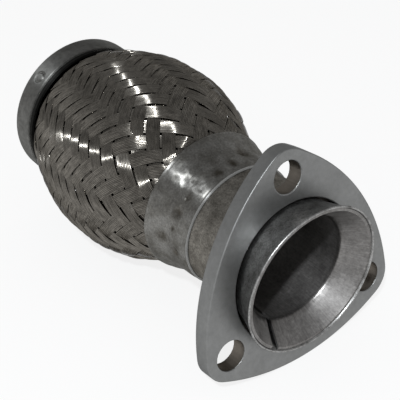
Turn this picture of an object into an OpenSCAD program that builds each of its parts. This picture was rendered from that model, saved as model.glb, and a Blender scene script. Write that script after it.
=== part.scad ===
/* [Flange] */
// Diameter of each bolt hole
bolt_hole = 11; // [8:0.5:12]
// Width of plate between its bore and each bolt hole
bolt_web = 4; // [2:0.1:8]
// Thickness of the plate
flange_t = 6; // [4:0.5:8]
// Width of plate round the outside of each bolt hole
corner_web = 4; // [3:0.1:6]
// Width of plate left beside its bore at the middle of each side
flange_web = 8.9; // [6:0.1:12]
// Lean of the plate back from square to the pipe
flange_lean = 9; // [0:1:10]
// Gap round the pipe in the plate's bore
bore_gap = 1; // [0.9:0.1:2]
// Distance from the bolt circle's centre up to the pipe's axis
pipe_rise = 1; // [0:0.1:1.2]

/* [Inlet pipe] */
// Outside diameter of the pipe
pipe_od = 45; // [42:0.5:46]
// Wall of the pipe
pipe_wall = 1.5; // [1:0.1:2]
// How far the flared mouth's edge stands out past the pipe
flare_rise = 4.9; // [4:0.1:5.5]
// How far the mouth stands in front of the flange
mouth_x = 8; // [5:0.5:10]
// Length of the flare
flare_len = 20; // [16:1:24]
// Wall at the edge of the mouth
lip_wall = 0.8; // [0.6:0.1:1.4]

/* [Seat sleeve] */
// Gap between the rolled sleeve and the pipe round it
sleeve_gap = 0.8; // [0.2:0.1:2]
// Sheet of the rolled sleeve
sleeve_wall = 0.8; // [0.6:0.1:1.2]
// Slope of the cone-shaped seat from the pipe's axis
seat_slope = 36; // [32:1:45]
// Width of the open seam along the sleeve
seam_gap = 1.8; // [0.8:0.1:3]
// Place of the seam round the pipe, from the top towards +Y
seam_angle = -142; // [-180:1:180]
// Depth of the sleeve behind the flange
sleeve_depth = 26; // [18:1:28]

/* [End caps] */
// Gap inside the front cap's edge, round the end of the braid
cap_gap = 0.4; // [0.3:0.1:1]
// Sheet of the front cap
front_cap_wall = 1.1; // [0.8:0.1:1.3]
// Distance from the flange to the front cap's front edge
front_cap_x = 29.5; // [27:0.1:31]
// Length of the front cap
front_cap_len = 19.5; // [18:0.1:22]
// Gap inside the rear cap, round the end of the braid
rear_gap = 2.3; // [0.5:0.1:3]
// Wall of the rear cap
rear_cap_wall = 1.8; // [1.2:0.1:2.2]
// Length of the rear cap
rear_cap_len = 11.1; // [10:0.1:16]

/* [Flexible middle] */
// Length of braid seen between the caps
braid_len = 74; // [70:0.5:86]
// How far the braid bulges out past its ends
bulge_rise = 12.5; // [10:0.1:15]
// Ribbons of wire that wind each way
ribbons = 24; // [16:4:28]
// Crossings of a ribbon pair along the braid
crossings = 12; // [8:1:12]
// Height of the ribbons over the gaps between them
weave_depth = 1.1; // [0.6:0.1:1.2]
// Turn of the weave round the pipe
weave_turn = 9.25; // [-15:0.25:15]
// Thickness of the braid under the ribbons' tops
braid_wall = 2; // [1.8:0.1:2.2]
// Convolutions of the bellows
convolutions = 9; // [6:1:9]
// Clearance between the bellows' first crest and the braid
crest_gap = 0.4; // [0.3:0.1:1.5]
// Sheet of the bellows
bellows_wall = 0.4; // [0.3:0.05:0.5]
// Turns of the strip-wound liner
liner_turns = 16; // [10:1:18]

/* [Hidden] */
$fn = 96;
holes = 3;
hole_step = 360 / holes;
overrun = 1;
layer_gap = 0.1;
hole_r = bolt_hole / 2;
pipe_r = pipe_od / 2;

// Flare of the pipe, from the plain pipe to the mouth
mouth_r = pipe_r + flare_rise;
flare_steps = 8;
flare_power = 1.75;
flare_x0 = mouth_x - flare_len;

// Outline of the plate: a wide arc along each side runs into the round corner at each hole
bore_r = flare_r(0) + bore_gap;
bolt_r = bore_r + bolt_web + hole_r;
corner_r = hole_r + corner_web;
hole_pos = [for (k = [0:holes - 1]) bolt_r * [cos(90 - k * hole_step), sin(90 - k * hole_step)]];
half_side = bolt_r * sin(hole_step / 2);
side_mid = bolt_r * cos(hole_step / 2);
corner_line = bore_r + flange_web - corner_r;
side_back = (pow(bolt_r, 2) - pow(corner_line, 2)) / (2 * (corner_line - side_mid));
side_r = side_back + bore_r + flange_web;
side_span = atan(half_side / (side_back + side_mid));
side_steps = 28;
corner_steps = 12;

// Fillet of weld behind the plate
weld_leg = 3;
weld_reach = 2.6;
weld_crown = 1.1;

// Sleeve that carries the cone-shaped seat
sleeve_r = pipe_r - pipe_wall - sleeve_gap - sleeve_wall;
seat_blend = 2.4;
seat_steps = 6;
seat_inset = 0.6;

// Layers under each cap, from the inside out
socket_wall = 1.5;
pipe_swell = 1.8;
cuff_r = pipe_r + pipe_swell;
braid_end_wall = 0.8;
cuff_out = cuff_r + bellows_wall;
braid_end_r = cuff_out + layer_gap + braid_end_wall;
cap_r = braid_end_r + cap_gap + front_cap_wall;
rear_cap_r = braid_end_r + rear_gap + rear_cap_wall;
front_cap_end = -front_cap_x - front_cap_len;
rear_cap_start = front_cap_end - braid_len;
rear_end = rear_cap_start - rear_cap_len;
cap_lip = 0.8;
cap_edge_r = 0.5;
neck_r = pipe_r + layer_gap + front_cap_wall;
swell_start = cap_x(0.6);
swell_end = cap_x(0.82);
cuff_seat = 5;
end_setback = 1;
pipe_end = front_cap_end - cuff_seat;

// Swaged shape of the front cap: shares of its length and of its rise over the pipe
cap_shape = [
    [0.06, 0], [0.36, 0.02], [0.5, 0.09], [0.6, 0.24], [0.7, 0.47], [0.8, 0.71], [0.9, 0.9], [0.97, 1]
];
function cap_x(share) = -front_cap_x - share * front_cap_len;
function cap_points(inset) = [for (s = cap_shape) [neck_r - inset + (cap_r - neck_r) * s[1], cap_x(s[0])]];

// Braid: rows of points a quarter of a crossing apart, each row shifted by half a step
rows = 4 * crossings;
around = 2 * ribbons;
row_warp = 0.21;
first_row = 2;
weave_lead = 5;
weave_start = front_cap_end + weave_lead;
rear_notch = 1.5;
weave_len = weave_start - rear_cap_start - rear_notch;
front_tuck_x = cap_x(0.86);
rear_tuck = 4.5;
float_run = 4;
fade_rows = 2;

// Bulge of the braid: shares of the length between the caps and of the rise
bulge_shape = [
    [0, 0], [0.04, 0.15], [0.095, 0.28], [0.149, 0.42], [0.203, 0.59], [0.257, 0.74], [0.311, 0.84],
    [0.365, 0.92], [0.419, 0.97], [0.473, 0.995], [0.527, 1], [0.581, 0.99], [0.635, 0.96], [0.689, 0.905],
    [0.743, 0.82], [0.797, 0.72], [0.851, 0.615], [0.905, 0.51], [0.946, 0.38], [0.973, 0.19], [0.985, 0],
    [1, 0]
];
groove_share = 0.5;
tuck_share = 0.66;

// Bellows: rounded crests and roots joined by straight walls
root_r = cuff_out;
cuff_share = 0.15;
crest_r = bulge(cuff_share) - braid_wall - crest_gap;
bellows_start = row_x(cuff_share);
fold_len = (2 * bellows_start - front_cap_end - rear_cap_start) / convolutions;
fold_r = min(fold_len / 4, (crest_r - root_r) / 2);
fold_steps = 4;
front_cuff_end = front_tuck_x;
rear_cuff_end = rear_end + end_setback;

// Liner: one strip wound into interlocking turns
stop_step = 0.6;
liner_out = cuff_r - socket_wall - stop_step - layer_gap;
liner_wall = 1.3;
liner_groove = 0.6;
liner_groove_share = 0.3;
liner_start = swell_end - layer_gap;
liner_end = rear_cap_start + end_setback;
socket_reach = 5;
socket_end = rear_cap_start + socket_reach;
dimple_r = 2.1;
dimple_depth = 0.35;
dimple_angle = -39;

// Turns a revolved shape so that its height runs along the pipe, towards the mouth
module along_pipe() {
    translate([0, 0, pipe_rise]) rotate([0, 90, 0]) children();
}

// Turns a shape drawn in the plane of the plate to face along the pipe, leaning back
module on_flange() {
    rotate([0, -flange_lean, 0]) rotate([90, 0, 90]) children();
}

// Points of an arc about a centre
function arc(centre, r, from, to, steps) =
    [for (i = [0:steps]) let (a = from + (to - from) * i / steps) centre + r * [cos(a), sin(a)]];

function flange_outline() = [
    for (k = [0:holes - 1])
        let (mid = 90 - (k + 0.5) * hole_step, next = hole_pos[(k + 1) % holes])
        each concat(
            arc(-side_back * [cos(mid), sin(mid)], side_r, mid + side_span, mid - side_span, side_steps),
            arc(next, corner_r, mid - side_span, mid - hole_step + side_span, corner_steps)
        )
];

// Outer radius and wall of the flared pipe at a place along it
function flare_share(x) = max(0, x - flare_x0) / flare_len;
function flare_r(x) = pipe_r + flare_rise * pow(flare_share(x), flare_power);
function flare_wall(x) = pipe_wall + (lip_wall - pipe_wall) * flare_share(x);
function flare_points(inset) = [
    for (i = [0:flare_steps])
        let (x = flare_x0 + flare_len * i / flare_steps)
        [flare_r(x) - inset * flare_wall(x), x]
];

module pipe_envelope() {
    along_pipe() rotate_extrude()
        polygon(concat([[0, pipe_end], [pipe_r, pipe_end]], flare_points(0), [[0, mouth_x]]));
}

// Rounded three-hole plate with a plain bore
module flange_plate() {
    color("darkgray") on_flange() difference() {
        translate([0, 0, -flange_t]) linear_extrude(flange_t) polygon(flange_outline());
        translate([0, 0, -flange_t - overrun]) cylinder(r = bore_r, h = flange_t + 2 * overrun);
        for (p = hole_pos)
            translate([p[0], p[1], -flange_t - overrun]) cylinder(r = hole_r, h = flange_t + 2 * overrun);
    }
}

// Bead that joins the pipe to the back of the plate
module flange_weld() {
    color("dimgray") difference() {
        on_flange() rotate_extrude() polygon([
            [pipe_r - weld_leg, -flange_t],
            [bore_r + weld_reach, -flange_t],
            [bore_r + weld_reach - weld_crown / 2, -flange_t - weld_crown],
            [bore_r, -flange_t - weld_leg],
            [pipe_r - weld_leg, -flange_t - weld_leg - weld_crown]
        ]);
        pipe_envelope();
    }
}

// Pipe with a flared mouth and a widened rear end
module inlet_pipe() {
    color("gray") along_pipe() rotate_extrude() polygon(concat(
        [[cuff_r - socket_wall, pipe_end], [cuff_r, pipe_end], [cuff_r, swell_end], [pipe_r, swell_start]],
        flare_points(0),
        [for (i = [flare_steps:-1:0]) flare_points(1)[i]],
        [[pipe_r - pipe_wall, swell_start], [cuff_r - socket_wall, swell_end]]
    ));
}

// Inner face of the sleeve: a cone that rests in the flare and rounds over into the bore
seat_top_x = mouth_x - seat_inset;
seat_top_r = flare_r(seat_top_x) - flare_wall(seat_top_x) - layer_gap - sleeve_wall / cos(seat_slope);
seat_x = seat_top_x - (seat_top_r - sleeve_r) / tan(seat_slope);
function seat_points(offset_r) = concat(
    [[sleeve_r + offset_r, -sleeve_depth]],
    [for (i = [0:seat_steps])
        let (a = seat_slope * i / seat_steps, r = seat_blend - offset_r)
        [sleeve_r + seat_blend - r * cos(a), seat_x - seat_blend * tan(seat_slope / 2) + r * sin(a)]],
    [[seat_top_r + offset_r / cos(seat_slope), seat_top_x]]
);

// Rolled sleeve with a cone-shaped seat and an open seam
module seat_sleeve() {
    color("silver") along_pipe() difference() {
        rotate_extrude() polygon(concat(
            seat_points(0),
            [for (i = [seat_steps + 2:-1:0]) seat_points(sleeve_wall)[i]]
        ));
        rotate([0, 0, 180 - seam_angle])
            translate([0, -seam_gap / 2, -sleeve_depth - overrun])
                cube([mouth_r + overrun, seam_gap, sleeve_depth + mouth_x + 2 * overrun]);
    }
}

// Swaged cap over the front end of the braid
module front_cap() {
    lip = pipe_r + layer_gap;
    inside = cap_points(front_cap_wall);
    color("lightgray") along_pipe() rotate_extrude() polygon(concat(
        [[lip, -front_cap_x], [neck_r - cap_lip, -front_cap_x]],
        cap_points(0),
        [[cap_r - cap_edge_r, front_cap_end], [cap_r - front_cap_wall, front_cap_end]],
        [for (i = [len(inside) - 1:-1:0]) inside[i]]
    ));
}

// Outline of the bellows as a chain of arcs, offset_r moves it outwards
function wave(offset_r) = [
    for (c = [0:convolutions - 1])
        let (x = bellows_start - c * fold_len)
        each concat(
            arc([root_r + fold_r, x], fold_r - offset_r, 180, 270, fold_steps),
            arc([crest_r - fold_r, x - fold_len / 2], fold_r + offset_r, 90, -90, 2 * fold_steps),
            arc([root_r + fold_r, x - fold_len], fold_r - offset_r, 90, 180, fold_steps)
        )
];

// Thin corrugated tube that keeps the gas in
module bellows() {
    outer = wave(0);
    inner = wave(-bellows_wall);
    n = len(outer);
    color("silver") along_pipe() rotate_extrude() polygon(concat(
        [[root_r, front_cuff_end]],
        outer,
        [[root_r, rear_cuff_end], [root_r - bellows_wall, rear_cuff_end]],
        [for (i = [n - 1:-1:0]) inner[i]],
        [[root_r - bellows_wall, front_cuff_end]]
    ));
}

// Strip-wound liner between the pipe and the rear ring
module inner_liner() {
    turn = (liner_start - liner_end) / liner_turns;
    groove = turn * liner_groove_share;
    color("gray") along_pipe() rotate_extrude() polygon(concat(
        [[liner_out - liner_wall, liner_start], [liner_out, liner_start]],
        [for (i = [0:liner_turns - 1])
            let (x = liner_start - i * turn - (turn - groove) / 2, floor_r = liner_out - liner_groove)
            each [[liner_out, x], [floor_r, x], [floor_r, x - groove], [liner_out, x - groove]]],
        [[liner_out, liner_end], [liner_out - liner_wall, liner_end]]
    ));
}

// Place of a row and radius over the ribbons' tops there, t is the share of the rows before it
function row_x(t) = weave_start - weave_len * (t + row_warp * sin(360 * t) / (2 * PI));
function bulge(t) = braid_end_r + bulge_rise * lookup((front_cap_end - row_x(t)) / braid_len, bulge_shape);

// True where a right-hand ribbon lies over a left-hand one: two over, two under
function over(sum) = (sum + 4 * around) % float_run < float_run / 2;

// How far a point of the weave lies below the ribbons' tops, as a share of its depth
function drop_share(right, left) =
    right % 2 != 0 && left % 2 != 0 ? 0
    : right % 2 == 0 && left % 2 == 0 ? 1
    : right % 2 != 0 ? centre_drop_share((right - 1) / 2 + left / 2, true)
    : centre_drop_share(right / 2 + (left - 1) / 2, false);
function centre_drop_share(sum, hand) =
    over(sum) == hand && over(sum - 1) == hand ? 0
    : over(sum) != hand && over(sum - 1) != hand ? groove_share
    : tuck_share;

function ring_point(r, x, step) =
    let (a = weave_turn + 360 * step / around) [x, r * sin(a), pipe_rise + r * cos(a)];
function braid_row(k) = let (t = k / rows, top = bulge(t), fade = min(1, (k - first_row) / fade_rows)) [
    for (j = [0:around - 1])
        let (
            m = 2 * j + k % 2,
            right = (m + k) / 2,
            left = (m - k) / 2 + 2 * around,
            r = top - weave_depth * fade * drop_share(right, left)
        )
        ring_point(r, row_x(t), m / 2)
];
function plain_row(r, x) = [for (j = [0:around - 1]) ring_point(r, x, j)];

// Braid of flat wire ribbons, two over and two under, bulged between the caps
module outer_braid() {
    inner_r = braid_end_r - braid_end_wall;
    inner_t = [for (k = [rows:-float_run:float_run]) k / rows];
    outer = concat(
        [plain_row(braid_end_r - cap_gap, front_tuck_x)],
        [for (k = [first_row:rows]) braid_row(k)],
        [plain_row(braid_end_r, rear_cap_start), plain_row(braid_end_r, rear_cap_start - rear_tuck)]
    );
    inner = concat(
        [plain_row(inner_r, rear_cap_start - rear_tuck), plain_row(inner_r, rear_cap_start)],
        [for (t = inner_t) plain_row(max(bulge(t) - braid_wall, inner_r), row_x(t))],
        [plain_row(inner_r, front_tuck_x)]
    );
    n = around;
    last = len(outer) - 1;
    points = [for (row = concat(outer, inner)) each row];
    total = len(outer) + len(inner);
    woven = rows - first_row;
    // Plain bands join rows with no shift; the woven rows join as diamonds
    bands = concat([0], [last - 2, last - 1], [for (i = [last:total - 1]) i]);
    function band(i) = [
        for (j = [0:n - 1])
            let (a = i * n, b = (i + 1) % total * n, j1 = (j + 1) % n)
            each [[a + j, a + j1, b + j1], [a + j, b + j1, b + j]]
    ];
    function diamonds() = [
        for (k = [0:woven - 2], j = [0:n - 1])
            let (
                row = (k + 1) * n,
                left = k % 2 == 0 ? (j + n - 1) % n : j,
                right = k % 2 == 0 ? j : (j + 1) % n,
                top = row + j,
                bottom = row + 2 * n + j
            )
            each [[top, row + n + right, row + n + left], [row + n + left, row + n + right, bottom]]
    ];
    function ends() = [
        for (j = [0:n - 1])
            let (j1 = (j + 1) % n, first = n, end = (woven + 1) * n)
            each [[first + j, first + j1, first + n + j], [end + j, end - n + j, end + j1]]
    ];
    faces = concat([for (i = bands) each band(i)], diamonds(), ends());
    color("gray") polyhedron(points = points, faces = faces, convexity = 6);
}

// Ring inside the rear end: the next pipe slides in up to a step that holds the liner
module rear_inner_ring() {
    color("gray") along_pipe() rotate_extrude() polygon([
        [cuff_r - socket_wall, rear_end],
        [cuff_r - layer_gap, rear_end],
        [cuff_r - layer_gap, socket_end],
        [liner_out + layer_gap, socket_end],
        [liner_out + layer_gap, rear_cap_start],
        [cuff_r - socket_wall, rear_cap_start]
    ]);
}

// Thick band round the rear end of the braid, turned in at the back
module rear_cap() {
    color("dimgray") along_pipe() difference() {
        rotate_extrude() polygon([
            [cuff_out + layer_gap, rear_end],
            [rear_cap_r - cap_edge_r, rear_end],
            [rear_cap_r, rear_end + cap_edge_r],
            [rear_cap_r, rear_cap_start - cap_edge_r],
            [rear_cap_r - cap_edge_r, rear_cap_start],
            [rear_cap_r - rear_cap_wall, rear_cap_start],
            [rear_cap_r - rear_cap_wall, rear_end + rear_cap_wall],
            [cuff_out + layer_gap, rear_end + rear_cap_wall]
        ]);
        rotate([0, 0, 180 - dimple_angle])
            translate([rear_cap_r - dimple_depth, 0, rear_end + rear_cap_len / 2])
                rotate([0, 90, 0]) cylinder(r = dimple_r, h = overrun);
    }
}

flange_plate();
flange_weld();
inlet_pipe();
seat_sleeve();
front_cap();
bellows();
inner_liner();
outer_braid();
rear_inner_ring();
rear_cap();
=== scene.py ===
"""Looks of the exhaust flex pipe, in metres and in the part's own frame.

Sizes and places come first, then the materials, a function for each piece, and the floor, light and camera.
The bellows, liner and ring inside the rear end keep their CAD shape and get only materials; the bellows' is
painted shade.
"""

import math
import random

import bpy
from mathutils import Matrix, Vector, noise

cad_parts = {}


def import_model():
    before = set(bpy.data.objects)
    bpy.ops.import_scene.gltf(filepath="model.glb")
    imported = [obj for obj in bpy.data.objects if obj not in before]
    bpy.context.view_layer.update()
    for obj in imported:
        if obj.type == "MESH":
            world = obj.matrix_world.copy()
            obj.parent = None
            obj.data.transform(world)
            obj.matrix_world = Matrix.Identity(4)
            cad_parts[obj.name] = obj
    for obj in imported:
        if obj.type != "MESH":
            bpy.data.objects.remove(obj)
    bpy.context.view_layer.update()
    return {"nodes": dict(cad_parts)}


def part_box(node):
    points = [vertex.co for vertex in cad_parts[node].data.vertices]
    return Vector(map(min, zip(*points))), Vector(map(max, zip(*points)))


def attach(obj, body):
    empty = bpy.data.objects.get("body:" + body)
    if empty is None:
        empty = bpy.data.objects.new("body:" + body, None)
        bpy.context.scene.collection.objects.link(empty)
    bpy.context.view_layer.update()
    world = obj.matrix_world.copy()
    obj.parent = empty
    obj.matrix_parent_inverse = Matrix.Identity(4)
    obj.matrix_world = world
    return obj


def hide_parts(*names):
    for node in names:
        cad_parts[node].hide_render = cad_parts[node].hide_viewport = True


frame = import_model()

MM = 0.001
TURN = 2 * math.pi
EDGE_STEPS = 4  # steps in a small rounded edge


# Pipe with its flared mouth
PIPE_RISE = 1 * MM  # the pipe's axis lies this far over the middle of the bolt circle
PIPE_R = 22.5 * MM
PIPE_WALL = 1.5 * MM
SWELL_R = 24.3 * MM  # radius of the widened end under the front cap
SWELL_FROM = 0.6  # where the pipe widens, as shares of the front cap's length
SWELL_TO = 0.82
PIPE_TAIL = 5 * MM  # length of the pipe behind the front cap
LAYER_GAP = 0.1 * MM
MOUTH_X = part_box("inlet_pipe")[1].x
FLARE_LEN = 20 * MM
FLARE_RISE = 4.9 * MM
FLARE_POWER = 1.75
FLARE_STEPS = 28
LIP_WALL = 0.8 * MM
LIP_STEPS = 6
# Brown heat tint, which fades in from the first place to the second
HEAT_FROM_X = -6 * MM
HEAT_TO_X = -12 * MM
HEAT_TINT = (0.56, 0.53, 0.48)

# Flange
FLANGE_LEAN = math.radians(9)
FLANGE_T = 6 * MM
FLANGE_EDGE = 0.45 * MM  # rounding of the plate's edges
BORE_R = 25.5 * MM
BORE_STEPS = 160
BOLT_R = 35 * MM
HOLE_R = 5.5 * MM
HOLE_STEPS = 96
HOLE_RIPPLE = 0.008  # unevenness of the bolt holes' walls, as a share of their radius
HOLE_BROWN = (0.72, 0.64, 0.56)
CORNER_R = 9.5 * MM
CORNER_STEPS = 24
SIDE_MID_R = 34.4 * MM  # from the plate's centre to the middle of a side
SIDE_STEPS = 64

# Weld bead behind the plate
BEAD_R = 2.4 * MM
BEAD_RING_R = BORE_R - 0.6 * MM
BEAD_BACK = FLANGE_T + 0.3 * MM  # from the plate's front face to the middle of the bead
BEAD_STEPS = 240
BEAD_SIDES = 10
BEAD_RIPPLES = 36
BEAD_RIPPLE = 0.06  # as shares of the bead's radius
BEAD_UNEVEN = 0.05
BEAD_UNEVEN_SCALE = 9

# Sleeve with its cone-shaped seat
SLEEVE_R = 19.4 * MM
SLEEVE_WALL = 0.8 * MM
SLEEVE_BACK_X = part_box("seat_sleeve")[0].x
SLEEVE_STEPS = 192
SEAT_TOP_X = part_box("seat_sleeve")[1].x
SEAT_TOP_R = 25.24 * MM
SEAT_SLOPE = math.radians(36)
SEAT_BLEND = 2.4 * MM  # radius of the bend between the tube and the cone
SEAT_BLEND_STEPS = 8
SEAM_GAP = 2.5 * MM
SEAM_ANGLE = math.radians(-142)
# Wear along the sleeve: place in mm and roughness, from the back forwards. The throat is worn smooth.
SLEEVE_WEAR = ((-2.2, 0.66), (-1.1, 0.5), (-0.8, 0.24), (0.2, 0.28), (1.3, 0.6), (8, 0.6))
SLEEVE_WEAR_SHARE = 0.55

# Front cap
CAP_R = 27.1 * MM
CAP_WALL = 1.1 * MM
CAP_NECK_R = 23.7 * MM
CAP_EDGE = 0.45 * MM
CAP_FRONT_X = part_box("front_cap")[1].x
CAP_BACK_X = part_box("front_cap")[0].x
CAP_STEPS = 110
CAP_TURN_STEPS = 360
# Profile of the cap: share of its length from the front, and share of its rise from the neck
CAP_SHAPE = ((0, -0.3), (0.012, -0.18), (0.026, -0.13), (0.042, -0.17), (0.06, -0.19), (0.1, -0.11),
             (0.18, -0.03), (0.36, 0.03), (0.5, 0.09), (0.6, 0.24), (0.7, 0.47), (0.8, 0.7), (0.9, 0.85),
             (0.945, 0.885), (0.982, 1), (1, 1))
# Uneven surface: depth, and scale of the noise per metre
CAP_WAVES = ((0.16 * MM, 120), (0.02 * MM, 420))
CAP_WAVES_R = 25 * MM  # radius at which the noise is read
CAP_EVEN_LIP = 1.5 * MM  # the waves and dents fade out over this length at the front edge
# Dents: place along the pipe (mm), angle from the top (degrees), size and depth (mm)
CAP_DENTS = ((-44.8, -29, 2.4, 0.14), (-40.6, -38, 2.2, 0.16), (-36.5, -31, 2.0, 0.2), (-33.6, -34, 1.2, 0.2),
             (-36.6, -46, 0.8, 0.3), (-37.0, -60, 1.7, 0.45), (-38.3, 21, 2.0, 0.6), (-39.5, 27, 1.6, 0.4),
             (-42, -85, 1.6, 0.3), (-35.5, -96, 1.3, 0.35), (-44.5, -60, 1.6, 0.2))
DENT_REACH = 3  # a dent ends at this many times its size
# Crumpled patch, where the light falls on the cap
CRUMPLE_X = -39 * MM
CRUMPLE_ANGLE = math.radians(-34)
CRUMPLE_DEPTH = 0.12 * MM
CRUMPLE_LENGTH = 7 * MM
CRUMPLE_WIDTH = 4.5 * MM
CRUMPLE_SCALE = (420, 260, 260)
# Stains, and painted shade in dents: place along the pipe (mm), angle from the top (degrees), radius and
# reach (mm)
CAP_STAINS_AND_SHADE = ((-38.3, 22, 24, 2.3), (-37, -60, 24, 2.0), (-41, -88, 25.2, 1.9), (-35.5, -98, 24, 1.6),
              (-36, -46, 24, 1.0), (-33.5, -14, 23.7, 1.3), (-34.5, 2, 23.8, 1.6), (-37, -76, 24, 1.0))
STAIN_AND_SHADE_TINT = (0.45, 0.42, 0.38)
SPOT_OUTER = 1.7  # a spot fades out at this many times its reach, and is full at the next
SPOT_INNER = 0.3
SPOT_WOBBLE = 3.5 * MM
SPOT_WOBBLE_SCALE = 640
# Painted highlight along the lip at the front edge: a pale, less metallic band
LIP_HIGHLIGHT_FROM_X = CAP_FRONT_X - 0.85 * MM
LIP_HIGHLIGHT_TO_X = CAP_FRONT_X - 0.55 * MM
LIP_HIGHLIGHT_COLOUR = (0.24, 0.238, 0.23)
LIP_HIGHLIGHT_METAL = 0.45

# Band round the rear end
BAND_R = 29.7 * MM
BAND_WALL = 1.8 * MM
BAND_INNER_R = SWELL_R + 0.5 * MM
BAND_EDGE = 0.6 * MM
BAND_FRONT_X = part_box("rear_cap")[1].x
BAND_BACK_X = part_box("rear_cap")[0].x
BAND_STEP = 0.8 * MM
BAND_STEP_X = BAND_FRONT_X - 1.8 * MM
# Shade on the step, which fades in from the first place to the second
BAND_SHADE_FROM_X = BAND_STEP_X + 0.1 * MM
BAND_SHADE_TO_X = BAND_STEP_X + 0.3 * MM
BAND_SHADE_TINT = (0.16, 0.16, 0.16)
BAND_FINENESS = 0.35 * MM
# Round mark pressed into the band
MARK_X = (BAND_FRONT_X + BAND_BACK_X) / 2 - 0.6 * MM
MARK_ANGLE = math.radians(-39)
MARK_SPREAD = math.radians(9)
MARK_R = 2.1 * MM
MARK_WIDTH = 0.4 * MM
MARK_DEPTH = 0.32 * MM
MARK_SKIN = 0.1 * MM  # points deeper than this under the band's surface don't move
MARK_STEPS = 60  # steps across the mark, and round the rest of the band
BAND_STEPS = 180

# Braid
BRAID_END_R = 25.6 * MM
BULGE_RISE = 12.5 * MM
SEEN_LEN = CAP_BACK_X - BAND_FRONT_X
# Profile of the bulge: share of the seen length from the front, and share of the rise
BULGE_SHAPE = ((-0.08, -0.04), (-0.04, -0.03), (0, 0), (0.04, 0.15), (0.095, 0.28), (0.149, 0.42),
               (0.203, 0.59), (0.257, 0.74), (0.311, 0.84), (0.365, 0.92), (0.419, 0.97), (0.473, 0.995),
               (0.527, 1), (0.581, 0.99), (0.635, 0.96), (0.689, 0.905), (0.743, 0.82), (0.797, 0.72),
               (0.851, 0.615), (0.905, 0.5), (0.935, 0.38), (0.955, 0.19), (0.968, 0.02), (1, 0), (1.1, 0))
WEAVE_START = CAP_BACK_X + 5 * MM  # the first crossing lies under the front cap
WEAVE_LEN = WEAVE_START - BAND_FRONT_X - 1.5 * MM
WEAVE_TURN = math.radians(16.75)
ROW_WARP = 0.21  # the crossings lie wider apart at the ends and closer in the middle by this share
RIBBONS = 24
CROSSINGS = 24
FIRST_CROSSING = 0.75
LAST_CROSSING = 25
RINGS_PER_CROSSING = 4
NUDGE = 1e-3  # step of t over which directions along a ribbon are taken
RIBBON_FILL = 0.86
RIBBON_T = 0.42 * MM
RIBBON_BACK = 0.96  # width of a ribbon's underside, as a share of its width
RIBBON_LIFT = 0.04 * MM  # largest random shifts of a ribbon, up and sideways
RIBBON_DRIFT = 0.12 * MM
DRIFT_RINGS = 12
DRIFT_SPANS = 12
FLOAT_RISE = 0.45 * MM
FLOAT_CROWN = 1.35
EDGE_DROP = 0.2 * MM
# Crossing at which the even and the odd ribbons of each hand lie highest
PHASES = {-1: (-0.5, 1.5), 1: (2.5, 0.5)}
WIRES = 9
WIRE_RELIEF = 0.15 * MM
WIRE_STEPS = (0, 0.75, 1, 0.75)
# Places where a ribbon's wires have come apart: hand, ribbon, crossing
LOOSE_WIRES = ((-1, 23, 2.0), (1, 17, 2.6))
LOOSE_RELIEF = 1.5  # how much higher the wires stand there, as a share of their relief
LOOSE_FADE = 2  # how fast that fades along the ribbon
# Shade under the rear band's edge
BRAID_SHADE_FROM_X = -119 * MM
BRAID_SHADE_TO_X = -120.5 * MM
BRAID_SHADE_TINT = (0.12, 0.12, 0.12)

# Steel in general
EDGE_TINT = (0.35, 0.35, 0.35, 1)  # reflections at a grazing angle
NOISE_LOW = 0.3  # most of a noise's values lie between these
NOISE_HIGH = 0.7
DIRT_BELOW = 0.2  # where the dark patches turn pale, below and above the share of dirt
DIRT_ABOVE = 0.15
SPECKS_PER_PATCH = 6.5
GRAIN_DEPTH = 0.05 * MM
STREAK_ROTATION = 0.25  # a quarter turn: the highlights stretch along the pipe, across the turned lines
RIBBON_STREAKS = (11, 26)  # noise cells across a ribbon and along it

# Camera, as fitted to the photograph
CAMERA_AT = Vector((183.0, -170.3, 214.1)) * MM
CAMERA_FORWARD = Vector((-0.6517, 0.4711, -0.5945))
CAMERA_UP = Vector((-0.4554, 0.3837, 0.8033))
CAMERA_LENS = 90
CAMERA_SENSOR = 36
CAMERA_NEAR = 10 * MM

# Floor under the flange's lower side and the bulge
FLOOR_SIZE = 3
FLOOR_AT = Vector((-87, 0, -37.5)) * MM  # under the bulge
FLOOR_RUN = 92.4 * MM  # from there to the flange's lower side, which stands higher
FLOOR_RISE = 3.3 * MM
FLOOR_TILT = math.atan2(FLOOR_RISE, FLOOR_RUN)
FLOOR_GREY = (0.85, 0.85, 0.85, 1)
FLOOR_GLOW = 0.82

# Light
WHITE = (1, 1, 1, 1)
LAMP_AIM = Vector((-60, 0, 0)) * MM
LAMP_DIRECTION = Vector((0.466, -0.459, 0.757))
LAMP_DISTANCE = 0.9
LAMP_SIZE = 0.04
LAMP_POWER = 5.4
LAMP_COLOUR = (0.93, 0.965, 1)
ROOM_LIGHT = 0.55
BACKDROP_LIGHT = 1
# What shows in reflections: grey, bright at the horizon and darker overhead
ROOM_GREY = (0.8, 0.8, 0.8, 1)
HORIZON_UP = -0.1
HORIZON_LIGHT = 1
OVERHEAD_UP = 0.75
OVERHEAD_LIGHT = 0.4


# Shapes

def mesh_object(name, verts, faces, material, sharp=30):
    """A smooth-shaded mesh object whose edges over a number of degrees stay sharp."""
    mesh = bpy.data.meshes.new(name)
    mesh.from_pydata(verts, [], faces)
    mesh.validate()
    mesh.update()
    mesh.shade_smooth()
    mesh.set_sharp_from_angle(angle=math.radians(sharp))
    mesh.materials.append(material)
    obj = bpy.data.objects.new(name, mesh)
    bpy.context.scene.collection.objects.link(obj)
    return obj


def around(x, r, beta):
    """Point at a place along the pipe, a radius and an angle from the top towards +Y."""
    return Vector((x, r * math.sin(beta), PIPE_RISE + r * math.cos(beta)))


def direction(angle):
    """Unit vector in a plane, at an angle."""
    return Vector((math.cos(angle), math.sin(angle)))


def turn_from(middle, beta):
    """Angle from a middle to another, between minus and plus half a turn."""
    return (beta - middle + math.pi) % TURN - math.pi


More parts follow.
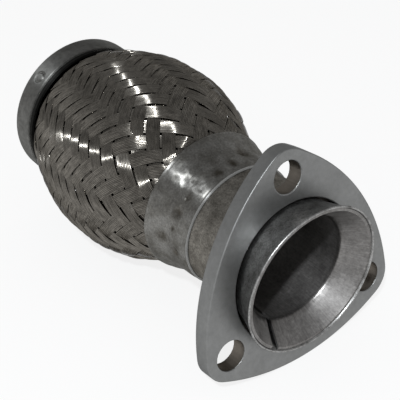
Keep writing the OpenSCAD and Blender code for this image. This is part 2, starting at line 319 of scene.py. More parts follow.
def smooth(table, x):
    """Value of a table of (x, y) at x, on a smooth curve through its points."""
    if x <= table[0][0]:
        return table[0][1]
    if x >= table[-1][0]:
        return table[-1][1]
    i = max(k for k in range(len(table) - 1) if table[k][0] <= x)

    def slope(k):
        a, b = table[max(k - 1, 0)], table[min(k + 1, len(table) - 1)]
        return (b[1] - a[1]) / (b[0] - a[0])

    (x0, y0), (x1, y1) = table[i], table[i + 1]
    step = x1 - x0
    u = (x - x0) / step
    return ((2 * u ** 3 - 3 * u ** 2 + 1) * y0 + (u ** 3 - 2 * u ** 2 + u) * step * slope(i)
            + (3 * u ** 2 - 2 * u ** 3) * y1 + (u ** 3 - u ** 2) * step * slope(i + 1))


def lathe(name, profile, material, steps=192, shape=None, angles=None, closed=True):
    """Turns a closed profile of (x, r) about the pipe's axis. shape(x, r, beta) moves a point's radius."""
    if angles is None:
        angles = [TURN * i / steps for i in range(steps)]
    n = len(profile)
    verts = []
    for beta in angles:
        for x, r in profile:
            if shape:
                r = shape(x, r, beta)
            verts.append(around(x, r, beta))
    rings = len(angles)
    faces = []
    for i in range(rings if closed else rings - 1):
        a, b = i * n, (i + 1) % rings * n
        for j in range(n):
            k = (j + 1) % n
            faces.append((a + j, a + k, b + k, b + j))
    if not closed:
        last = (rings - 1) * n
        faces.append(tuple(range(n - 1, -1, -1)))
        faces.append(tuple(last + j for j in range(n)))
    obj = mesh_object(name, verts, faces, material)
    turned_map(obj.data, n, angles, profile)
    return obj


def turned_map(mesh, section_points, angles, profile):
    """UV map of a turned piece: u is the share of the turn and v the length along its profile in metres."""
    length = [0]
    for (x0, r0), (x1, r1) in zip(profile, profile[1:] + profile[:1]):
        length.append(length[-1] + math.hypot(x1 - x0, r1 - r0))
    layer = mesh.uv_layers.new(name="turned")
    for face in mesh.polygons:
        rings = [mesh.loops[i].vertex_index // section_points for i in face.loop_indices]
        steps = [mesh.loops[i].vertex_index % section_points for i in face.loop_indices]
        wraps_turn = max(rings) - min(rings) > 1
        wraps_profile = max(steps) - min(steps) > 1
        for i, ring, step in zip(face.loop_indices, rings, steps):
            u = angles[ring] / TURN + (1 if wraps_turn and ring == 0 else 0)
            v = length[-1] if wraps_profile and step == 0 else length[step]
            layer.data[i].uv = (u, v)


def arc(cx, cr, radius, start, end, steps):
    """Points (x, r) of an arc in a profile, angles in degrees from +x towards +r."""
    out = []
    for i in range(steps + 1):
        a = math.radians(start + (end - start) * i / steps)
        out.append((cx + radius * math.cos(a), cr + radius * math.sin(a)))
    return out


def fine(points, step):
    """Adds points along a profile so that none lie further apart than step."""
    out = []
    for (x0, r0), (x1, r1) in zip(points, points[1:] + points[:1]):
        n = max(1, math.ceil(math.hypot(x1 - x0, r1 - r0) / step))
        out += [(x0 + (x1 - x0) * i / n, r0 + (r1 - r0) * i / n) for i in range(n)]
    return out


def flange_matrix():
    """From the plate's own plane, x to +Y, y up and z along its normal, into the part's frame."""
    lean = Matrix.Rotation(-FLANGE_LEAN, 4, "Y")
    return lean @ Matrix(((0, 0, 1, 0), (1, 0, 0, 0), (0, 1, 0, 0), (0, 0, 0, 1)))


def corner_angle(k):
    """Angle of corner k of the plate in its own plane. Halves give the middles of its sides."""
    return TURN / 4 - k * TURN / 3


def hole_centres():
    """Centres of the bolt holes in the plate's own plane."""
    return [BOLT_R * direction(corner_angle(k)) for k in range(3)]


# Nodes of the materials

def feed(node, *in_order, **by_name):
    """Feeds a node's inputs, in their order or by name, each with another node's output or with a value."""
    named = [(node.inputs[key.replace("_", " ")], value) for key, value in by_name.items()]
    for socket, value in [*zip(node.inputs, in_order), *named]:
        if isinstance(value, bpy.types.NodeSocket):
            node.id_data.links.new(value, socket)
        else:
            socket.default_value = value


def add(tree, kind, *in_order, settings=None, **by_name):
    """Adds a node with its settings, and feeds its inputs."""
    node = tree.nodes.new(kind)
    for key, value in (settings or {}).items():
        setattr(node, key, value)
    feed(node, *in_order, **by_name)
    return node


def mapped(tree, value, low, high, to_low=0, to_high=1):
    """Maps a value from one range to another, and stops at its ends."""
    span = add(tree, "ShaderNodeMapRange", Value=value, From_Min=low, From_Max=high, To_Min=to_low,
               To_Max=to_high)
    return span.outputs["Result"]


def noise_mapped(tree, value, to_low, to_high):
    """Maps the values of a noise to a range."""
    return mapped(tree, value, NOISE_LOW, NOISE_HIGH, to_low, to_high)


def scaled(tree, colour, factor):
    """Multiplies a colour by a factor."""
    node = add(tree, "ShaderNodeVectorMath", settings={"operation": "SCALE"}, Vector=colour, Scale=factor)
    return node.outputs["Vector"]


def mixed(tree, factor, colour, other, blend_type="MULTIPLY"):
    """Multiplies a colour by another one, or blends them, as far as the factor says."""
    settings = {"data_type": "RGBA", "blend_type": blend_type}
    mix = add(tree, "ShaderNodeMix", settings=settings, Factor=factor, A=colour, B=(*other, 1))
    return mix.outputs["Result"]


def noise_texture(tree, place, scale, detail, roughness=0.5):
    """Noise over a place; scale is its cells per unit."""
    return add(tree, "ShaderNodeTexNoise", Vector=place, Scale=scale, Detail=detail, Roughness=roughness)


def object_place(tree):
    """Place in the part's frame, because every piece sits at the origin."""
    return add(tree, "ShaderNodeTexCoord").outputs["Object"]


def map_place(tree, uv_map, scale):
    """Place on a UV map, with its two directions scaled."""
    place = add(tree, "ShaderNodeUVMap", settings={"uv_map": uv_map})
    return add(tree, "ShaderNodeMapping", Vector=place.outputs["UV"], Scale=(*scale, 1)).outputs["Vector"]


def map_tangent(tree, uv_map):
    """Direction in which u of a UV map grows."""
    settings = {"direction_type": "UV_MAP", "uv_map": uv_map}
    return add(tree, "ShaderNodeTangent", settings=settings).outputs["Tangent"]


def along_pipe(tree, x_from, x_to):
    """0 up to one place along the pipe, 1 beyond another, and a slope between them."""
    axes = add(tree, "ShaderNodeSeparateXYZ", object_place(tree))
    return mapped(tree, axes.outputs["X"], x_from, x_to)


def close_to(tree, place, centre, outer, inner):
    """1 within the inner distance of a centre, 0 beyond the outer one, and a slope between them."""
    gap = add(tree, "ShaderNodeVectorMath", place, centre, settings={"operation": "DISTANCE"})
    return mapped(tree, gap.outputs["Value"], outer, inner)


# Materials

def bare_metal(name):
    """A new metal, its node tree and its shader."""
    material = bpy.data.materials.new(name)
    material.use_nodes = True
    tree = material.node_tree
    shader = tree.nodes["Principled BSDF"]
    feed(shader, Metallic=1, Specular_Tint=EDGE_TINT)
    return material, tree, shader


def worn_colour(tree, colour, dark, patch, dirt=0.5, speck=0.22):
    """Patches of two colours, with finer and weaker specks over them."""
    place = object_place(tree)
    patches = noise_texture(tree, place, patch, 5, 0.6)
    ramp = add(tree, "ShaderNodeValToRGB", Fac=patches.outputs["Fac"])
    low, high = ramp.color_ramp.elements
    low.position = dirt - DIRT_BELOW
    low.color = (*dark, 1)
    high.position = dirt + DIRT_ABOVE
    high.color = (*colour, 1)
    specks = noise_texture(tree, place, patch * SPECKS_PER_PATCH, 4, 0.65)
    change = noise_mapped(tree, specks.outputs["Fac"], 1 - speck, 1 + speck)
    return scaled(tree, ramp.outputs["Color"], change)


def steel(name, colour, dark, rough, patch=120, dirt=0.5, speck=0.22, grain=1600, turned=None, streak=0,
          lines=0, bump=0.15):
    """Worn steel with a fine grain in its roughness and relief.

    turned draws the grain out round a turned piece: repeats per turn, and per metre along its profile.
    streak stretches the highlights across the turned lines, and lines shows the grain in the colour.
    """
    material, tree, shader = bare_metal(name)
    coloured = worn_colour(tree, colour, dark, patch, dirt, speck)
    if turned:
        grains = noise_texture(tree, map_place(tree, "turned", turned), 1, 3, 0.6).outputs["Fac"]
    else:
        grains = noise_texture(tree, object_place(tree), grain, 3, 0.6).outputs["Fac"]
    if streak:
        feed(shader, Tangent=map_tangent(tree, "turned"), Anisotropic=streak,
             Anisotropic_Rotation=STREAK_ROTATION)
    if lines:
        coloured = scaled(tree, coloured, noise_mapped(tree, grains, 1 - lines, 1 + lines))
    relief = add(tree, "ShaderNodeBump", Strength=bump, Distance=GRAIN_DEPTH, Height=grains)
    feed(shader, Base_Color=coloured, Roughness=noise_mapped(tree, grains, *rough),
         Normal=relief.outputs["Normal"])
    return material


def opened(material):
    """A steel's node tree and shader, and the output that colours it."""
    tree = material.node_tree
    shader = tree.nodes["Principled BSDF"]
    return tree, shader, shader.inputs["Base Color"].links[0].from_socket


def tinted(material, x_from, x_to, tint):
    """Multiplies a steel's colour by a tint beyond a place along the pipe."""
    tree, shader, colour = opened(material)
    feed(shader, Base_Color=mixed(tree, along_pipe(tree, x_from, x_to), colour, tint))
    return material


def flange_steel():
    """Satin plate with brown walls in its bolt holes."""
    material = steel("flange_steel", (0.25, 0.253, 0.251), (0.22, 0.223, 0.221), (0.42, 0.5), patch=80,
                     speck=0.08, grain=2600, bump=0.06)
    tree, shader, colour = opened(material)
    place = object_place(tree)
    reach = math.hypot(HOLE_R, FLANGE_T / 2)
    for hole in hole_centres():
        centre = flange_matrix() @ Vector((hole.x, hole.y, -FLANGE_T / 2))
        wall = close_to(tree, place, centre, reach, reach - FLANGE_EDGE / 2)
        colour = mixed(tree, wall, colour, HOLE_BROWN)
    feed(shader, Base_Color=colour)
    return material


def weld_steel():
    """Dark, rough bead."""
    return steel("weld_steel", (0.10, 0.09, 0.08), (0.04, 0.035, 0.03), (0.4, 0.6), patch=300)


def pipe_steel():
    """Mottled tube that turns brown behind the flange."""
    material = steel("pipe_steel", (0.38, 0.38, 0.375), (0.17, 0.167, 0.162), (0.32, 0.46), patch=240,
                     dirt=0.48, speck=0.42)
    return tinted(material, HEAT_FROM_X, HEAT_TO_X, HEAT_TINT)


def sleeve_steel():
    """Rolled sheet with lines and patches, worn smooth in a ring at the throat."""
    material = steel("sleeve_steel", (0.265, 0.258, 0.251), (0.178, 0.172, 0.167), (0.3, 0.5), patch=150,
                     turned=(320, 160), lines=0.2, bump=0.2)
    tree, shader, _ = opened(material)
    plain = shader.inputs["Roughness"].links[0].from_socket
    back, front = SLEEVE_WEAR[0][0], SLEEVE_WEAR[-1][0]
    ramp = add(tree, "ShaderNodeValToRGB", Fac=along_pipe(tree, back * MM, front * MM))
    elements = ramp.color_ramp.elements
    while len(elements) < len(SLEEVE_WEAR):
        elements.new(0.5)
    for element, (x, rough) in zip(elements, SLEEVE_WEAR):
        element.position = (x - back) / (front - back)
        element.color = (rough, rough, rough, 1)
    worn = add(tree, "ShaderNodeMix", Factor=SLEEVE_WEAR_SHARE, A=plain, B=ramp.outputs["Color"])
    feed(shader, Roughness=worn.outputs["Result"])
    return material


def cap_steel():
    """Polished sheet with turned streaks, stains and painted shade in dents, and a painted highlight on its
    lip.
    """
    material = steel("cap_steel", (0.225, 0.222, 0.211), (0.13, 0.125, 0.113), (0.32, 0.42), patch=210,
                     dirt=0.48, speck=0.3, turned=(14, 2200), streak=0.92, bump=0.1)
    tree, shader, colour = opened(material)
    place = object_place(tree)
    wobble = noise_texture(tree, place, SPOT_WOBBLE_SCALE, 5).outputs["Color"]
    moved = add(tree, "ShaderNodeVectorMath", wobble, (SPOT_WOBBLE, SPOT_WOBBLE, SPOT_WOBBLE), place,
                settings={"operation": "MULTIPLY_ADD"}).outputs["Vector"]
    # dark spots: stains, and painted shade in the dents
    for x, degrees, radius, reach in CAP_STAINS_AND_SHADE:
        centre = around(x * MM, radius * MM, math.radians(degrees)) + Vector((1, 1, 1)) * SPOT_WOBBLE / 2
        spot = close_to(tree, moved, centre, reach * MM * SPOT_OUTER, reach * MM * SPOT_INNER)
        colour = mixed(tree, spot, colour, STAIN_AND_SHADE_TINT)
    # painted highlight: the lip turns pale and less metallic
    lip = along_pipe(tree, LIP_HIGHLIGHT_FROM_X, LIP_HIGHLIGHT_TO_X)
    colour = mixed(tree, lip, colour, LIP_HIGHLIGHT_COLOUR, "MIX")
    feed(shader, Base_Color=colour, Metallic=mapped(tree, lip, 0, 1, 1, LIP_HIGHLIGHT_METAL))
    return material


def band_steel():
    """Matt band with turned streaks, and painted shade on its step."""
    material = steel("band_steel", (0.19, 0.19, 0.182), (0.13, 0.13, 0.123), (0.42, 0.52), patch=90,
                     turned=(14, 1500), streak=0.9, bump=0.1)
    # painted shade on the step
    return tinted(material, BAND_SHADE_FROM_X, BAND_SHADE_TO_X, BAND_SHADE_TINT)


def ring_steel():
    """Plain tube."""
    return steel("ring_steel", (0.12, 0.12, 0.115), (0.08, 0.08, 0.075), (0.35, 0.5))


def bellows_steel():
    """Thin sheet, painted nearly black as the shade inside the braid, seen in its gaps."""
    return steel("bellows_steel", (0.035, 0.034, 0.032), (0.02, 0.02, 0.02), (0.45, 0.6))


def liner_steel():
    """Pale, matt strip at the end of the pipe's bore."""
    return steel("liner_steel", (0.56, 0.56, 0.55), (0.48, 0.48, 0.47), (0.62, 0.7), bump=0.05)


def braid_steel():
    """The ribbons' steel: highlights stretched across the wires, fine streaks along them, painted shade at
    the rear.
    """
    material, tree, shader = bare_metal("braid_steel")
    colour = worn_colour(tree, (0.188, 0.176, 0.157), (0.132, 0.123, 0.109), 90)
    streaks = noise_texture(tree, map_place(tree, "ribbon", RIBBON_STREAKS), 1, 2).outputs["Fac"]
    feed(shader, Base_Color=scaled(tree, colour, noise_mapped(tree, streaks, 0.72, 1.28)),
         Roughness=mapped(tree, streaks, low=0.38, high=0.62, to_low=0.34, to_high=0.16),
         Anisotropic=1, Tangent=map_tangent(tree, "ribbon"))
    # painted shade on the ribbons under the rear band's edge
    return tinted(material, BRAID_SHADE_FROM_X, BRAID_SHADE_TO_X, BRAID_SHADE_TINT)


# Braid

def row_x(t):
    """Place along the pipe at t, the share of the crossings passed from the front."""
    return WEAVE_START - WEAVE_LEN * (t + ROW_WARP * math.sin(TURN * t) / TURN)


def bulge(t):
    """Radius over the ribbons' tops at t."""
    return BRAID_END_R + BULGE_RISE * smooth(BULGE_SHAPE, (CAP_BACK_X - row_x(t)) / SEEN_LEN)


def float_height(crossing, phase, across):
    """Height of a ribbon over the braid's mean surface: two crossings over, two under."""
    c = math.cos(TURN * (crossing - phase) / 4)
    level = math.copysign(abs(c) ** FLOAT_CROWN, c)
    return FLOAT_RISE * level - EDGE_DROP * across * across * (0.5 + 0.5 * level)


def ribbon_section():
    """(across, height) of a ribbon's section: wires side by side on top, flat below."""
    top = []
    for wire in range(WIRES):
        for step, rise in enumerate(WIRE_STEPS):
            share = (wire + step / len(WIRE_STEPS)) / WIRES
            top.append((2 * share - 1, WIRE_RELIEF * rise))
    top.append((1, 0))
    return top + [(RIBBON_BACK, -RIBBON_T + WIRE_RELIEF), (-RIBBON_BACK, -RIBBON_T + WIRE_RELIEF)]


def ribbon_rows(hand):
    """Rows along a ribbon: t, the surface's slope, the directions across and out of it, and the width."""
    rows = []
    first = round(FIRST_CROSSING * RINGS_PER_CROSSING)
    last = round(LAST_CROSSING * RINGS_PER_CROSSING)
    for ring in range(first, last + 1):
        t = ring / RINGS_PER_CROSSING / CROSSINGS
        before, after = t - NUDGE, t + NUDGE
        start = around(row_x(before), bulge(before), -hand * math.pi * NUDGE)
        end = around(row_x(after), bulge(after), hand * math.pi * NUDGE)
        along = (end - start).normalized()
        slope = (bulge(after) - bulge(before)) / (row_x(after) - row_x(before))
        normal = Vector((-slope, 0, 1)).normalized()
        side = along.cross(normal).normalized()
        spacing = TURN * bulge(t) / RIBBONS * abs(side.y)
        rows.append((t, slope, side, normal, spacing * RIBBON_FILL))
    return rows


def wire_spread(hand, ribbon, crossing):
    """How far the wires stand up at a crossing: 1, and more where they have come apart."""
    places = [place for at_hand, at_ribbon, place in LOOSE_WIRES if (at_hand, at_ribbon) == (hand, ribbon)]
    return 1 + sum(LOOSE_RELIEF * math.exp(-LOOSE_FADE * (crossing - place) ** 2) for place in places)


def ribbon_faces(base, rings, n, hand):
    """Faces of a ribbon whose points start at base: its skin, and a cap at each end."""
    faces = []
    for ring in range(rings - 1):
        a, b = base + ring * n, base + (ring + 1) * n
        for j in range(n):
            k = (j + 1) % n
            quad = (a + j, a + k, b + k, b + j)
            faces.append(quad if hand < 0 else quad[::-1])
    for ring, flip in ((0, hand < 0), (rings - 1, hand > 0)):
        cap = tuple(base + ring * n + j for j in range(n))
        faces.append(cap[::-1] if flip else cap)
    return faces


def ribbon_map(mesh, section_points, rows):
    """UV map of the ribbons: u runs across each ribbon and v along it."""
    layer = mesh.uv_layers.new(name="ribbon")
    for loop in mesh.loops:
        row, j = divmod(loop.vertex_index, section_points)
        layer.data[loop.index].uv = (j / section_points, row % rows / rows + row // rows)


def braid(name, hand, seed, material):
    """All the ribbons that wind one way, hand -1 or +1, as one mesh."""
    rng = random.Random(seed)
    section = ribbon_section()
    rows = ribbon_rows(hand)
    verts, faces = [], []
    for ribbon in range(RIBBONS):
        phase = PHASES[hand][ribbon % 2]
        lift = rng.uniform(-RIBBON_LIFT, RIBBON_LIFT)
        drift = [rng.uniform(-RIBBON_DRIFT, RIBBON_DRIFT) for _ in range(DRIFT_SPANS)]
        faces += ribbon_faces(len(verts), len(rows), len(section), hand)
        for index, (t, slope, side, normal, width) in enumerate(rows):
            crossing = t * CROSSINGS
            beta = WEAVE_TURN + TURN * ribbon / RIBBONS + hand * math.pi * t
            turn = Matrix.Rotation(-beta, 3, "X")
            r = bulge(t) - FLOAT_RISE - WIRE_RELIEF
            centre = Vector((row_x(t), 0, r))
            span, step = divmod(index, DRIFT_RINGS)
            wander = drift[span] * math.sin(math.pi * step / DRIFT_RINGS)
            spread = wire_spread(hand, ribbon, crossing)
            for across, height in section:
                rise = float_height(crossing, phase, across) + height * (spread if height > 0 else 1) + lift
                p = centre + side * (across * width / 2 + wander)
                sag = (math.hypot(p.y, p.z) - r - (p.x - centre.x) * slope) * normal.z
                p += normal * (rise - sag)
                p = turn @ p
                verts.append(Vector((p.x, p.y, p.z + PIPE_RISE)))
    piece = mesh_object(name, verts, faces, material, sharp=70)
    ribbon_map(piece.data, len(section), len(rows))
    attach(piece, "root")
    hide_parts("outer_braid")


# Flange and weld bead

def flange_outline():
    """Outline of the plate in its own plane: an arc along each side and round each hole."""
    line = SIDE_MID_R - CORNER_R
    side_mid = BOLT_R * math.cos(TURN / 6)
    half_side = BOLT_R * math.sin(TURN / 6)
    side_back = (BOLT_R ** 2 - line ** 2) / (2 * (line - side_mid))
    side_r = side_back + SIDE_MID_R
    span = math.atan(half_side / (side_back + side_mid))
    out = []
    for k in range(3):
        mid = corner_angle(k + 0.5)
        centre = -side_back * direction(mid)
        for i in range(SIDE_STEPS):
            out.append(centre + side_r * direction(mid + span - 2 * span * i / SIDE_STEPS))
        centre = BOLT_R * direction(corner_angle(k + 1))
        start, end = mid - span, mid - TURN / 3 + span
        for i in range(CORNER_STEPS):
            out.append(centre + CORNER_R * direction(start + (end - start) * i / CORNER_STEPS))
    return out


def ring_points(centre, r, steps):
    """Points round a circle in the plate's own plane."""
    return [centre + r * direction(TURN * i / steps) for i in range(steps)]


def rippled_hole(centre, rng):
    """Outline of a bolt hole whose wall is a little uneven."""
    ring = ring_points(centre, HOLE_R, HOLE_STEPS)
    return [centre + (p - centre) * (1 + rng.uniform(-HOLE_RIPPLE, HOLE_RIPPLE)) for p in ring]


def flange_plate():
    """The plate with rounded edges, as a filled curve that is turned into a mesh."""
    curve = bpy.data.curves.new("flange", "CURVE")
    curve.dimensions = "2D"
    curve.fill_mode = "BOTH"
    curve.extrude = FLANGE_T / 2 - FLANGE_EDGE
    curve.bevel_depth = FLANGE_EDGE
    curve.bevel_resolution = 3
    curve.offset = -FLANGE_EDGE
    rng = random.Random(5)
    loops = [flange_outline(), ring_points(Vector((0, 0)), BORE_R, BORE_STEPS)]
    loops += [rippled_hole(hole, rng) for hole in hole_centres()]
    for loop in loops:
        spline = curve.splines.new("POLY")
        spline.points.add(len(loop) - 1)
        for point, p in zip(spline.points, loop):
            point.co = (p.x, p.y, 0, 1)
        spline.use_cyclic_u = True
    holder = bpy.data.objects.new("flange_curve", curve)
    bpy.context.scene.collection.objects.link(holder)
    bpy.context.view_layer.update()
    mesh = bpy.data.meshes.new_from_object(holder)
    bpy.data.objects.remove(holder)
    mesh.transform(flange_matrix() @ Matrix.Translation((0, 0, -FLANGE_T / 2)))
    mesh.materials.clear()
    mesh.materials.append(flange_steel())
    mesh.shade_smooth()
    mesh.set_sharp_from_angle(angle=math.radians(25))
    piece = bpy.data.objects.new("flange", mesh)
    bpy.context.scene.collection.objects.link(piece)
    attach(piece, "root")
    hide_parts("flange_plate")


def weld_bead():
    """Rippled bead behind the plate, round the pipe."""
    verts, faces = [], []
    turn = flange_matrix()
    for i in range(BEAD_STEPS):
        a = TURN * i / BEAD_STEPS
        along = Vector((math.cos(a), math.sin(a), 0))
        uneven = BEAD_UNEVEN * noise.noise(along * BEAD_UNEVEN_SCALE)
        size = BEAD_R * (1 + BEAD_RIPPLE * math.sin(BEAD_RIPPLES * a) + uneven)
        for j in range(BEAD_SIDES):
            b = TURN * j / BEAD_SIDES
            r = BEAD_RING_R + size * math.cos(b)
            verts.append(turn @ Vector((r * math.cos(a), r * math.sin(a), -BEAD_BACK + size * math.sin(b))))
    for i in range(BEAD_STEPS):
        a, b = i * BEAD_SIDES, (i + 1) % BEAD_STEPS * BEAD_SIDES
        for j in range(BEAD_SIDES):
            k = (j + 1) % BEAD_SIDES
            faces.append((a + j, b + j, b + k, a + k))
    piece = mesh_object("weld_bead", verts, faces, weld_steel(), sharp=60)
    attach(piece, "root")
    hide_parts("flange_weld")


# Pipe, sleeve and caps

def flare_share(x):
    """Share of the flare that is passed at a place along the pipe."""
    return max(0, x - (MOUTH_X - FLARE_LEN)) / FLARE_LEN


def flare_r(x):
    """Outer radius of the pipe at a place along it."""
    return PIPE_R + FLARE_RISE * flare_share(x) ** FLARE_POWER


def flare_wall(x):
    """Wall of the pipe, which thins towards the lip."""
    return PIPE_WALL + (LIP_WALL - PIPE_WALL) * flare_share(x)


def inlet_pipe():
    """The pipe, from the rounded lip of its mouth to the widened end under the front cap."""
    xs = [MOUTH_X - LIP_WALL / 2 - FLARE_LEN * i / FLARE_STEPS for i in range(FLARE_STEPS + 1)]
    outer = [(x, flare_r(x)) for x in xs]
    inner = [(x, flare_r(x) - flare_wall(x)) for x in reversed(xs)]
    lip = arc(xs[0], flare_r(xs[0]) - LIP_WALL / 2, LIP_WALL / 2, -90, 90, LIP_STEPS)[1:-1]
    back = [(cap_x(SWELL_FROM), PIPE_R), (cap_x(SWELL_TO), SWELL_R), (CAP_BACK_X - PIPE_TAIL, SWELL_R)]
    back_inner = [(x, r - PIPE_WALL) for x, r in reversed(back)]
    piece = lathe("pipe", outer + back + back_inner + inner + lip, pipe_steel())
    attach(piece, "root")
    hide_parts("inlet_pipe")


def seat_line(offset):
    """(x, r) from the sleeve's back end up the cone, moved outwards by offset."""
    seat_x = SEAT_TOP_X - (SEAT_TOP_R - SLEEVE_R) / math.tan(SEAT_SLOPE)
    bend_x = seat_x - SEAT_BLEND * math.tan(SEAT_SLOPE / 2)
    bend_r = SEAT_BLEND - offset
    out = [(SLEEVE_BACK_X, SLEEVE_R + offset)]
    for i in range(SEAT_BLEND_STEPS + 1):
        a = SEAT_SLOPE * i / SEAT_BLEND_STEPS
        out.append((bend_x + bend_r * math.sin(a), SLEEVE_R + SEAT_BLEND - bend_r * math.cos(a)))
    out.append((SEAT_TOP_X, SEAT_TOP_R + offset / math.cos(SEAT_SLOPE)))
    return out


def seat_sleeve():
    """Rolled sleeve whose ends leave an open seam."""
    profile = seat_line(0) + list(reversed(seat_line(SLEEVE_WALL)))
    half = SEAM_GAP / 2 / SLEEVE_R
    start, end = SEAM_ANGLE + half, SEAM_ANGLE + TURN - half
    angles = [start + (end - start) * i / SLEEVE_STEPS for i in range(SLEEVE_STEPS + 1)]
    piece = lathe("sleeve", profile, sleeve_steel(), angles=angles, closed=False)
    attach(piece, "root")
    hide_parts("seat_sleeve")


def cap_x(share):
    """Place along the pipe at a share of the front cap's length."""
    return CAP_FRONT_X - share * (CAP_FRONT_X - CAP_BACK_X)


def cap_r(share):
    """Outer radius of the front cap at a share of its length."""
    return CAP_NECK_R + (CAP_R - CAP_NECK_R) * smooth(CAP_SHAPE, share)


def dented(x, r, beta):
    """Radius of a point of the cap with its waves, dents and crumpled patch."""
    p = around(x, CAP_WAVES_R, beta)
    rise = sum(depth * noise.noise(p * scale) for depth, scale in CAP_WAVES)
    for dent_x, degrees, size, depth in CAP_DENTS:
        reach = math.hypot(x - dent_x * MM, turn_from(math.radians(degrees), beta) * r) / (size * MM)
        if reach < DENT_REACH:
            rise -= depth * MM * math.exp(-reach * reach)
    across = turn_from(CRUMPLE_ANGLE, beta) * r / CRUMPLE_WIDTH
    along = (x - CRUMPLE_X) / CRUMPLE_LENGTH
    fold = 1 - 2 * abs(noise.noise(Vector([c * scale for c, scale in zip(p, CRUMPLE_SCALE)])))
    rise += CRUMPLE_DEPTH * math.exp(-across ** 2 - along ** 2) * fold
    return r + rise * min(1, max(0, (CAP_FRONT_X - x) / CAP_EVEN_LIP))


def front_cap():
    """Swaged funnel from the pipe up to the braid, dented where it was pressed."""
    shares = [i / CAP_STEPS for i in range(CAP_STEPS + 1)]
    outer = [(cap_x(s), cap_r(s)) for s in shares if cap_x(s) > CAP_BACK_X + CAP_EDGE]
    outer += arc(CAP_BACK_X + CAP_EDGE, CAP_R - CAP_EDGE, CAP_EDGE, 90, 180, EDGE_STEPS)
    inner = [(cap_x(s), max(cap_r(s) - CAP_WALL, PIPE_R + LAYER_GAP)) for s in reversed(shares)]
    piece = lathe("front_cap_skin", outer + inner, cap_steel(), steps=CAP_TURN_STEPS, shape=dented)
    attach(piece, "root")
    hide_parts("front_cap")


def marked(x, r, beta):
    """Radius of a point of the band with the round mark in its outer face."""
    if r < BAND_R - MARK_SKIN:
        return r
    distance = math.hypot(x - MARK_X, (beta - MARK_ANGLE) * BAND_R)
    return r - MARK_DEPTH * math.exp(-((distance - MARK_R) / MARK_WIDTH) ** 2)


def rear_band():
    """Thick band with a step in front, painted dark as shade, and a round mark, whose back turns in."""
    outer = [(BAND_FRONT_X, BAND_R - BAND_STEP), (BAND_STEP_X, BAND_R - BAND_STEP)]
    outer += arc(BAND_STEP_X - BAND_EDGE, BAND_R - BAND_EDGE, BAND_EDGE, 0, 90, EDGE_STEPS)
    outer += arc(BAND_BACK_X + BAND_EDGE, BAND_R - BAND_EDGE, BAND_EDGE, 90, 180, EDGE_STEPS)
    inner = [(BAND_BACK_X, BAND_INNER_R), (BAND_BACK_X + BAND_WALL, BAND_INNER_R),
             (BAND_BACK_X + BAND_WALL, BAND_R - BAND_WALL), (BAND_FRONT_X, BAND_R - BAND_WALL)]
    first, last = MARK_ANGLE - MARK_SPREAD, MARK_ANGLE + MARK_SPREAD
    near = [first + (last - first) * i / MARK_STEPS for i in range(MARK_STEPS + 1)]
    far = [last + (first + TURN - last) * i / BAND_STEPS for i in range(1, BAND_STEPS)]
    profile = fine(outer + inner, BAND_FINENESS)
    piece = lathe("rear_band", profile, band_steel(), shape=marked, angles=near + far)
    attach(piece, "root")
    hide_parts("rear_cap")


def dress_frame():
    """Gives the CAD nodes that stay in view their materials; the bellows' one is painted shade."""
    finishes_and_shade = {"bellows": bellows_steel(), "inner_liner": liner_steel(), "rear_inner_ring": ring_steel()}
    for node, material in finishes_and_shade.items():
        mesh = frame["nodes"][node].data
        mesh.materials.clear()
        mesh.materials.append(material)


# Stage, light and camera

def floor_material():
    """Pale floor that takes shadows, and glows white to the camera and in reflections."""
    material = bpy.data.materials.new("floor")
    material.use_nodes = True
    tree = material.node_tree
    tree.nodes.remove(tree.nodes["Principled BSDF"])
    diffuse = add(tree, "ShaderNodeBsdfDiffuse", Color=FLOOR_GREY)
    glow = add(tree, "ShaderNodeEmission", Color=WHITE)
    rays = add(tree, "ShaderNodeLightPath")
    either = add(tree, "ShaderNodeMath", rays.outputs["Is Camera Ray"], rays.outputs["Is Glossy Ray"],
                 settings={"operation": "MAXIMUM"})
    share = add(tree, "ShaderNodeMath", either.outputs["Value"], FLOOR_GLOW,
                settings={"operation": "MULTIPLY"})
    mix = add(tree, "ShaderNodeMixShader", share.outputs["Value"], diffuse.outputs["BSDF"],
              glow.outputs["Emission"])
    feed(tree.nodes["Material Output"], Surface=mix.outputs["Shader"])
    return material


def floor():
    """Square of floor that takes the shadow."""
    half = FLOOR_SIZE / 2
    turn = Matrix.Translation(FLOOR_AT) @ Matrix.Rotation(-FLOOR_TILT, 4, "Y")
    corners = ((-half, -half, 0), (half, -half, 0), (half, half, 0), (-half, half, 0))
    mesh = bpy.data.meshes.new("floor")
    mesh.from_pydata([turn @ Vector(corner) for corner in corners], [], [(0, 1, 2, 3)])
    mesh.materials.append(floor_material())
    obj = bpy.data.objects.new("floor", mesh)
    bpy.context.scene.collection.objects.link(obj)


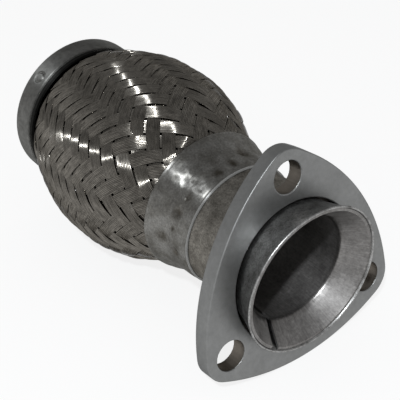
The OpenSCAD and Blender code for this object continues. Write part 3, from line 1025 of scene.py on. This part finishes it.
def world():
    """Soft light on every surface, a room that is darker overhead in reflections, and a white backdrop."""
    studio = bpy.data.worlds.new("studio")
    bpy.context.scene.world = studio
    studio.use_nodes = True
    tree = studio.node_tree
    soft = tree.nodes["Background"]
    feed(soft, Color=WHITE, Strength=ROOM_LIGHT)
    white = add(tree, "ShaderNodeBackground", Color=WHITE, Strength=BACKDROP_LIGHT)
    axes = add(tree, "ShaderNodeSeparateXYZ", add(tree, "ShaderNodeTexCoord").outputs["Generated"])
    light = mapped(tree, axes.outputs["Z"], HORIZON_UP, OVERHEAD_UP, HORIZON_LIGHT, OVERHEAD_LIGHT)
    room = add(tree, "ShaderNodeBackground", Color=ROOM_GREY, Strength=light)
    rays = add(tree, "ShaderNodeLightPath")
    lit = add(tree, "ShaderNodeMixShader", rays.outputs["Is Glossy Ray"], soft.outputs["Background"],
              room.outputs["Background"])
    seen = add(tree, "ShaderNodeMixShader", rays.outputs["Is Camera Ray"], lit.outputs["Shader"],
               white.outputs["Background"])
    feed(tree.nodes["World Output"], Surface=seen.outputs["Shader"])


def lamp():
    """Small round lamp above the camera and a little to its left, which makes the sharp highlights."""
    data = bpy.data.lights.new("flash", "AREA")
    data.shape = "DISK"
    data.size = LAMP_SIZE
    data.energy = LAMP_POWER
    data.color = LAMP_COLOUR
    obj = bpy.data.objects.new("flash", data)
    obj.location = LAMP_AIM + LAMP_DIRECTION.normalized() * LAMP_DISTANCE
    obj.rotation_euler = (LAMP_AIM - obj.location).to_track_quat("-Z", "Y").to_euler()
    bpy.context.scene.collection.objects.link(obj)


def camera():
    """Camera at the photograph's place and angle."""
    data = bpy.data.cameras.new("camera")
    data.lens = CAMERA_LENS
    data.sensor_width = CAMERA_SENSOR
    data.sensor_fit = "HORIZONTAL"
    data.clip_start = CAMERA_NEAR
    obj = bpy.data.objects.new("camera", data)
    back = -CAMERA_FORWARD.normalized()
    right = CAMERA_UP.cross(back).normalized()
    up = back.cross(right)
    turn = Matrix((right, up, back)).transposed().to_4x4()
    obj.matrix_world = Matrix.Translation(CAMERA_AT) @ turn
    bpy.context.scene.collection.objects.link(obj)
    bpy.context.scene.camera = obj


dress_frame()
ribbon_steel = braid_steel()
braid("braid_right", -1, 11, ribbon_steel)
braid("braid_left", 1, 23, ribbon_steel)
flange_plate()
inlet_pipe()
seat_sleeve()
front_cap()
rear_band()
weld_bead()
floor()
world()
lamp()
camera()
bpy.context.scene.view_settings.view_transform = "Standard"
